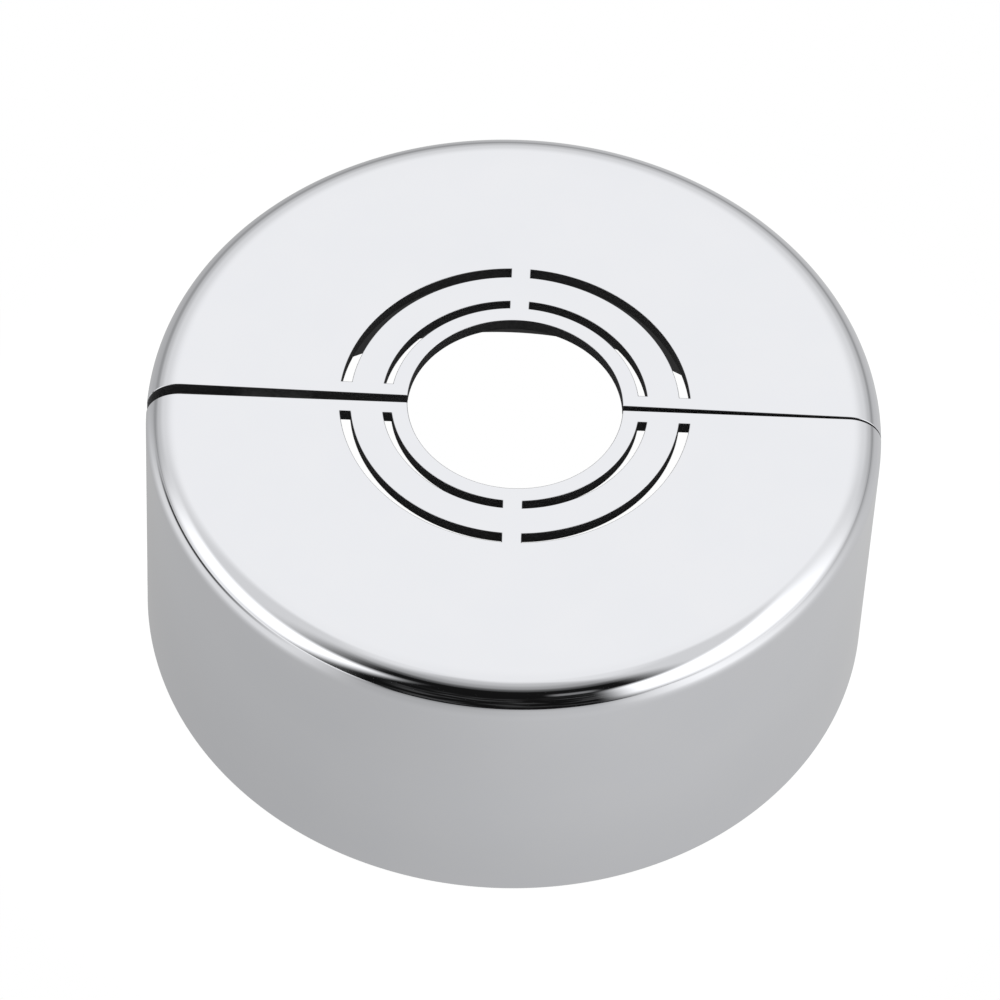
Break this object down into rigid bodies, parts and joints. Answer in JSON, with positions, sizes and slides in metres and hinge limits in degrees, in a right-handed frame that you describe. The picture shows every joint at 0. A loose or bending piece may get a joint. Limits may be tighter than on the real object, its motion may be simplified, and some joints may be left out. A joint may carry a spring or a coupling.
{
  "type": "split wall flange",
  "caption": "Deep split wall flange of polished sheet: two half shells close round a pipe and cover the hole in the wall, with break-out rings for larger pipes.",
  "frame": {"origin": "the pipe's axis on the plane of the wall, which is the plane of the rim", "axes": "+Z out of the wall along the pipe, +X along the seam towards its narrow end, +Y from the front half to the rear half"},
  "size_m": [0.076, 0.076, 0.0327],
  "materials": {
    "polished_shell": "mirror polished outside, duller inside",
    "tongue_steel": "plain rolled strip with two spot weld prints"
  },
  "bodies": {
    "rear": {"rear_half": "polished_shell", "left_tongue": "tongue_steel"},
    "front": {"front_half": "polished_shell", "right_tongue": "tongue_steel"}
  },
  "joints": [
    {"name": "front_pull", "type": "slide", "parent": "rear", "child": "front", "axis": [0, -1, 0], "range_m": [0, 0.03]}
  ]
}
